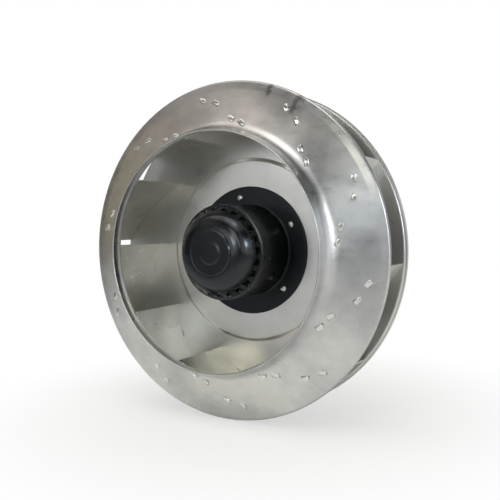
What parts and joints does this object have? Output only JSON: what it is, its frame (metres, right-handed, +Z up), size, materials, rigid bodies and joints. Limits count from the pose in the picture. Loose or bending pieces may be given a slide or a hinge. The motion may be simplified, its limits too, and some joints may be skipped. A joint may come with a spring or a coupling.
{
  "type": "motorised centrifugal fan wheel",
  "caption": "Motorised centrifugal fan wheel: aluminium inlet shroud, backward-curved blades and back plate riveted to a black external rotor motor.",
  "frame": {"origin": "on the spin axis, in the plane of the motor's mounting face, at the middle of its bolt circle", "axes": "+Y along the spin axis, out of the mounting face and away from the inlet, so the inlet faces -Y; +Z up"},
  "size_m": [0.355, 0.166, 0.355],
  "materials": {
    "sheet_aluminium": "plain rolled sheet, satin",
    "black_paint": "satin black paint",
    "core_steel": "punched laminations",
    "cast_aluminium": "as cast",
    "rivet_metal": "bright",
    "bearing_steel": "ground",
    "white_plastic": "moulded",
    "copper_winding": "enamelled copper wire",
    "black_rubber": "smooth",
    "lead_brown_wire": "wire insulation",
    "lead_blue_wire": "wire insulation",
    "lead_black_wire": "wire insulation",
    "lead_earth_wire": "wire insulation"
  },
  "bodies": {
    "stator": {"stator_flange": "cast_aluminium", "stator_core": "core_steel", "front_insulator": "white_plastic", "rear_insulator": "white_plastic", "stator_winding": "copper_winding", "front_outer_race": "bearing_steel", "rear_outer_race": "bearing_steel", "spring_washer": "bearing_steel", "cable_grommet": "black_rubber", "supply_cable": "black_rubber", "lead_brown": "lead_brown_wire", "lead_blue": "lead_blue_wire", "lead_black": "lead_black_wire", "lead_earth": "lead_earth_wire"},
    "rotor": {"inlet_shroud": "sheet_aluminium", "back_plate": "sheet_aluminium", "blade_01": "sheet_aluminium", "blade_02": "sheet_aluminium", "blade_03": "sheet_aluminium", "blade_04": "sheet_aluminium", "blade_05": "sheet_aluminium", "blade_06": "sheet_aluminium", "blade_07": "sheet_aluminium", "blade_08": "sheet_aluminium", "blade_09": "sheet_aluminium", "blade_10": "sheet_aluminium", "flange_rivets": "rivet_metal", "rotor_sleeve": "black_paint", "rotor_end_cap": "black_paint", "rotor_core": "core_steel", "rotor_cage": "cast_aluminium", "shaft": "bearing_steel", "shaft_circlip": "bearing_steel", "front_inner_race": "bearing_steel", "rear_inner_race": "bearing_steel"},
    "front_balls_and_cage": {"front_balls": "bearing_steel", "front_ball_cage": "white_plastic"},
    "rear_balls_and_cage": {"rear_balls": "bearing_steel", "rear_ball_cage": "white_plastic"}
  },
  "joints": [
    {"name": "wheel_spin", "type": "hinge", "parent": "stator", "child": "rotor", "pos_m": [0, 0, 0], "axis": [0, 1, 0], "continuous": true},
    {"name": "front_cage_spin", "type": "hinge", "parent": "stator", "child": "front_balls_and_cage", "pos_m": [0, -0.0835, 0], "axis": [0, 1, 0], "continuous": true},
    {"name": "rear_cage_spin", "type": "hinge", "parent": "stator", "child": "rear_balls_and_cage", "pos_m": [0, -0.013, 0], "axis": [0, 1, 0], "continuous": true}
  ],
  "couplings": [
    {"joint": "front_cage_spin", "follows": "wheel_spin", "ratio": 0.3645},
    {"joint": "rear_cage_spin", "follows": "wheel_spin", "ratio": 0.3645}
  ]
}
